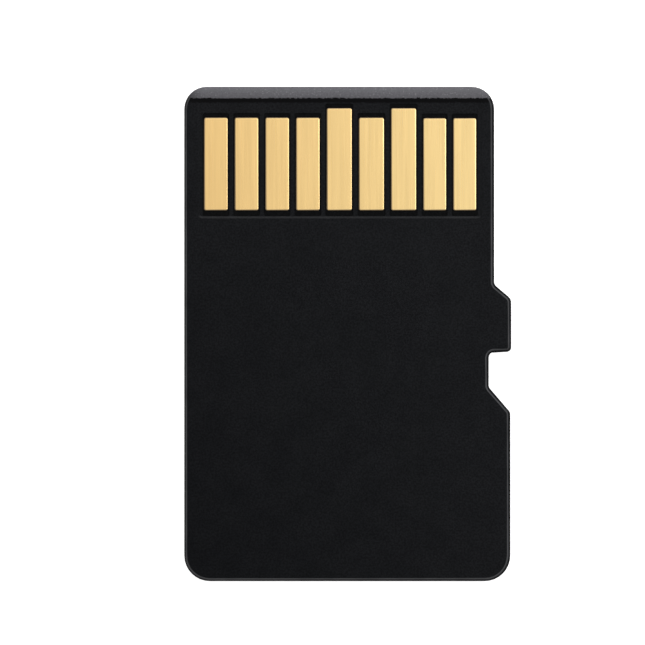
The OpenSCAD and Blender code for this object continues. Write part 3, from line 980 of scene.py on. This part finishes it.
class CARD_OT_wires(bpy.types.Operator):
    """Make the round bond wires of the controller and the memory stack"""
    bl_idname = "card.wires"
    bl_label = "Bond Wires"

    def execute(self, context):
        sizes = context.scene.card_wires
        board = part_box("inner_mask")[0].z
        low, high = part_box("controller_chip")
        spans = []
        for x in wire_places(FRONT_WIRES):
            finger = Vector((x, high.y + sizes.reach, board))
            spans.append((finger, Vector((x, high.y - sizes.landing, low.z))))
        for x in wire_places(REAR_WIRES):
            finger = Vector((x, low.y - sizes.reach, board))
            spans.append((Vector((x, low.y + sizes.landing, low.z)), finger))
        wire_piece("controller_bonds", "controller_wires", spans)
        chips = [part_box(name) for name in MEMORY_CHIPS]
        spans = []
        for x in wire_places(STACK_WIRES):
            stops = [Vector((x, chips[0][1].y + sizes.reach, board))]
            stops += [Vector((x, chip_high.y - sizes.landing, chip_low.z)) for chip_low, chip_high in chips]
            spans += zip(stops, stops[1:])
        wire_piece("memory_bonds", "memory_wires", spans)
        return {"FINISHED"}


class CARD_OT_capacitors(bpy.types.Operator):
    """Dress the ceramic capacitors and their terminals"""
    bl_idname = "card.capacitors"
    bl_label = "Capacitors"

    def execute(self, context):
        repaint(CAPACITORS, "capacitor_ceramic")
        repaint(["capacitor_terminals"], "tin")
        return {"FINISHED"}


LAMP_DISTANCE = 120 * MM
WHITE, WARM = (1, 1, 1), (1, 0.92, 0.80)
# Each lamp's direction, size and tint; its power is the stage setting of the same name.
LAMPS = {
    "side": ((0.74, 0.10, 0.67), 70 * MM, WHITE),
    "key": ((0.05, 0.74, 0.67), 90 * MM, WHITE),
    "front": ((0.05, 0.961, 0.276), 50 * MM, WHITE),
    "fill": ((-0.80, -0.15, 0.45), 60 * MM, WARM),
}
# The card lies on the front edge of its lip and on the front edge of its label face, which is higher
# by the lip, so the floor tilts to meet both.
LIP_FRONT, LABEL_FRONT, LIP_HEIGHT = -5.85 * MM, 7.40 * MM, 0.30 * MM
FLOOR_REACH = 500 * MM
FLOOR_GAP = 0.002 * MM
SENSOR_WIDTH = 36
# How white the floor looks, on top of the light that it returns.
FLOOR_GLOW = 0.85


def lamp(name, direction, size, watts, tint):
    """A square lamp that faces the card."""
    data = bpy.data.lights.new(name, "AREA")
    data.size = size
    data.energy = watts
    data.color = tint
    item = bpy.data.objects.new(name, data)
    bpy.context.scene.collection.objects.link(item)
    towards = Vector(direction).normalized()
    item.location = towards * LAMP_DISTANCE
    item.rotation_euler = towards.to_track_quat("Z", "Y").to_euler()


def seen_ray(tree):
    """One where the eye sees a surface, straight or in metal or through glass, and nought elsewhere."""
    rays = tree.nodes.new("ShaderNodeLightPath").outputs
    direct = maths(tree, "MAXIMUM", rays["Is Camera Ray"], rays["Is Glossy Ray"])
    return maths(tree, "MAXIMUM", direct, rays["Is Transmission Ray"])


def floor_finish():
    """A white floor that keeps the card's shadow and is clear from below."""
    material = bpy.data.materials.new("White sweep")
    material.use_nodes = True
    tree = material.node_tree
    tree.nodes.clear()
    output = tree.nodes.new("ShaderNodeOutputMaterial")
    paper = node(tree, "ShaderNodeBsdfDiffuse", Color=(0.8, 0.8, 0.8, 1))
    glow = node(tree, "ShaderNodeEmission", Color=(1, 1, 1, 1), Strength=FLOOR_GLOW)
    both = tree.nodes.new("ShaderNodeAddShader")
    tree.links.new(paper.outputs[0], both.inputs[0])
    tree.links.new(glow.outputs[0], both.inputs[1])
    below = tree.nodes.new("ShaderNodeNewGeometry").outputs["Backfacing"]
    clear = tree.nodes.new("ShaderNodeBsdfTransparent")
    above = tree.nodes.new("ShaderNodeMixShader")
    whole = tree.nodes.new("ShaderNodeMixShader")
    for mix, factor, first, second in ((above, seen_ray(tree), paper, both), (whole, below, above, clear)):
        tree.links.new(factor, mix.inputs[0])
        tree.links.new(first.outputs[0], mix.inputs[1])
        tree.links.new(second.outputs[0], mix.inputs[2])
    tree.links.new(whole.outputs[0], output.inputs["Surface"])
    return material


def white_world(strength):
    """White to the eye and in reflections, and a plain soft light otherwise."""
    world = bpy.data.worlds.new("White studio")
    bpy.context.scene.world = world
    world.use_nodes = True
    tree = world.node_tree
    tree.nodes.clear()
    output = tree.nodes.new("ShaderNodeOutputWorld")
    level = ranged(tree, seen_ray(tree), 0.0, 1.0, strength, 1.0, smooth=False)
    sky = node(tree, "ShaderNodeBackground", Color=(1, 1, 1, 1), Strength=level)
    tree.links.new(sky.outputs[0], output.inputs["Surface"])


class CARD_OT_stage(bpy.types.Operator):
    """Set up the floor, the lamps, the world and the camera"""
    bl_idname = "card.stage"
    bl_label = "Stage"

    def execute(self, context):
        stage = context.scene.card_stage
        slope = LIP_HEIGHT / (LABEL_FRONT - LIP_FRONT)
        corners = [(-1, -1), (1, -1), (1, 1), (-1, 1)]
        mesh = bpy.data.meshes.new("floor")
        mesh.from_pydata(
            [(x * FLOOR_REACH, y * FLOOR_REACH, (y * FLOOR_REACH - LIP_FRONT) * slope - FLOOR_GAP)
             for x, y in corners], [], [(0, 1, 2, 3)])
        floor = bpy.data.objects.new("floor", mesh)
        mesh.materials.append(floor_finish())
        context.scene.collection.objects.link(floor)
        white_world(stage.sky)
        for name, (direction, size, tint) in LAMPS.items():
            lamp(f"{name}_lamp", direction, size, getattr(stage, name), tint)
        data = bpy.data.cameras.new("camera")
        data.lens = stage.lens
        data.sensor_width = SENSOR_WIDTH
        data.clip_start, data.clip_end = 1 * MM, 10
        camera = bpy.data.objects.new("camera", data)
        context.scene.collection.objects.link(camera)
        distance = stage.field * stage.lens / SENSOR_WIDTH
        camera.location = (*stage.aim, CARD_HIGH.z - stage.field_depth + distance)
        context.scene.camera = camera
        context.scene.view_settings.view_transform = "Standard"
        return {"FINISHED"}


class CARD_PT_dresser(bpy.types.Panel):
    """Lists the card's sizes and colours and the steps that dress it"""
    bl_idname = "CARD_PT_dresser"
    bl_label = "Memory Card"
    bl_space_type = "VIEW_3D"
    bl_region_type = "UI"
    bl_category = "Card"

    def draw(self, context):
        for step in STEPS:
            self.layout.operator(step.bl_idname)
        for name, group in SETTINGS.items():
            box = self.layout.box()
            for key in group.__annotations__:
                box.prop(getattr(context.scene, name), key)


STEPS = (
    CARD_OT_contact_mask, CARD_OT_moulding, CARD_OT_board, CARD_OT_contacts, CARD_OT_chips,
    CARD_OT_wires, CARD_OT_capacitors, CARD_OT_stage,
)
CLASSES = (*SETTINGS.values(), *STEPS, CARD_PT_dresser)


def register():
    for item in CLASSES:
        bpy.utils.register_class(item)
    for name, group in SETTINGS.items():
        setattr(bpy.types.Scene, name, PointerProperty(type=group))


def unregister():
    for name in SETTINGS:
        delattr(bpy.types.Scene, name)
    for item in reversed(CLASSES):
        bpy.utils.unregister_class(item)


def main():
    register()
    for step in STEPS:
        getattr(bpy.ops.card, step.bl_idname.removeprefix("card."))()


if __name__ == "__main__":
    main()
